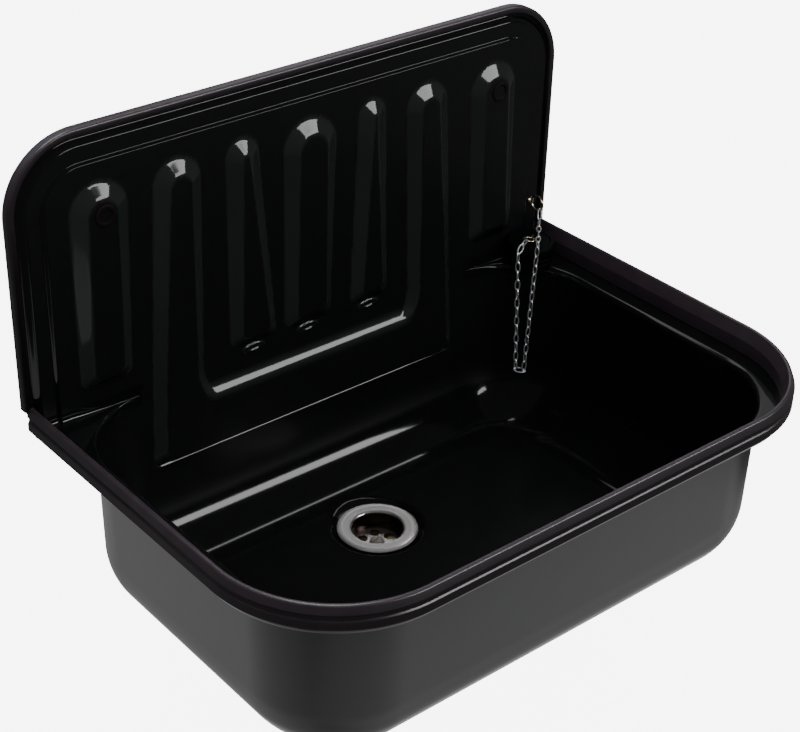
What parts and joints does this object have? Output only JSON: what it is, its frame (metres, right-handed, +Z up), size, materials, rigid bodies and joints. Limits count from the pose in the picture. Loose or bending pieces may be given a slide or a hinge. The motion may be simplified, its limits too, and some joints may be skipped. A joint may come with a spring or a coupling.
{
  "type": "utility sink",
  "caption": "Wall-hung utility sink pressed from enamelled sheet, with a ribbed high back, edge trims, a strainer waste and a rubber plug on a link chain.",
  "frame": {"origin": "on the wall plane, midway between the two wall-screw holes", "axes": "+X to the right along the back, +Y into the wall, +Z up"},
  "size_m": [0.51, 0.3407, 0.4279],
  "materials": {
    "enamel": "glossy vitreous enamel on pressed steel sheet",
    "trim_plastic": "satin extruded edge trim",
    "bush_plastic": "moulded, satin",
    "stainless": "pressed stainless steel, polished",
    "stainless_screw": "stainless steel screw",
    "gasket_rubber": "flat black rubber",
    "waste_plastic": "moulded black plastic",
    "brass": "turned brass",
    "nickel": "nickel-plated wire",
    "nickel_stay": "nickel-plated",
    "zinc": "zinc-plated steel",
    "plug_rubber": "satin black rubber"
  },
  "bodies": {
    "sink": {"basin_shell": "enamel", "rim_edge_trim": "trim_plastic", "back_edge_trim": "trim_plastic", "fixing_bushes": "bush_plastic", "waste_flange": "stainless", "waste_screw": "stainless_screw", "flange_gasket": "gasket_rubber", "body_gasket": "gasket_rubber", "waste_body": "waste_plastic", "screw_insert": "brass", "chain_stay": "nickel_stay", "stay_washer": "zinc", "stay_nut": "zinc"},
    "chain_top": {"chain_link_01": "nickel", "chain_link_02": "nickel", "chain_link_03": "nickel", "chain_link_04": "nickel", "chain_link_05": "nickel", "chain_link_06": "nickel", "chain_link_35": "nickel", "chain_link_36": "nickel", "plug_ring": "nickel"},
    "chain_loop": {"chain_link_07": "nickel", "chain_link_08": "nickel", "chain_link_09": "nickel", "chain_link_10": "nickel", "chain_link_11": "nickel", "chain_link_12": "nickel", "chain_link_13": "nickel", "chain_link_14": "nickel", "chain_link_15": "nickel", "chain_link_16": "nickel", "chain_link_17": "nickel", "chain_link_18": "nickel", "chain_link_19": "nickel", "chain_link_20": "nickel", "chain_link_21": "nickel", "chain_link_22": "nickel", "chain_link_23": "nickel", "chain_link_24": "nickel", "chain_link_25": "nickel", "chain_link_26": "nickel", "chain_link_27": "nickel", "chain_link_28": "nickel", "chain_link_29": "nickel", "chain_link_30": "nickel", "chain_link_31": "nickel", "chain_link_32": "nickel", "chain_link_33": "nickel", "chain_link_34": "nickel"},
    "plug": {"plug": "plug_rubber", "plug_staple": "nickel"}
  },
  "joints": [
    {"name": "chain_swing", "type": "hinge", "parent": "sink", "child": "chain_top", "pos_m": [0.2368, -0.02091, -0.11926], "axis": [-0.866, 0.2887, 0.4082], "range_deg": [0, 45]},
    {"name": "loop_swing", "type": "hinge", "parent": "chain_top", "child": "chain_loop", "pos_m": [0.20252, -0.05519, -0.13064], "axis": [-0.4512, 0.7198, -0.5276], "range_deg": [-6, 35]},
    {"name": "plug_turn", "type": "hinge", "parent": "chain_top", "child": "plug", "pos_m": [0.2175, -0.033, -0.1372], "axis": [0, 0, 1], "range_deg": [-40, 40]}
  ]
}
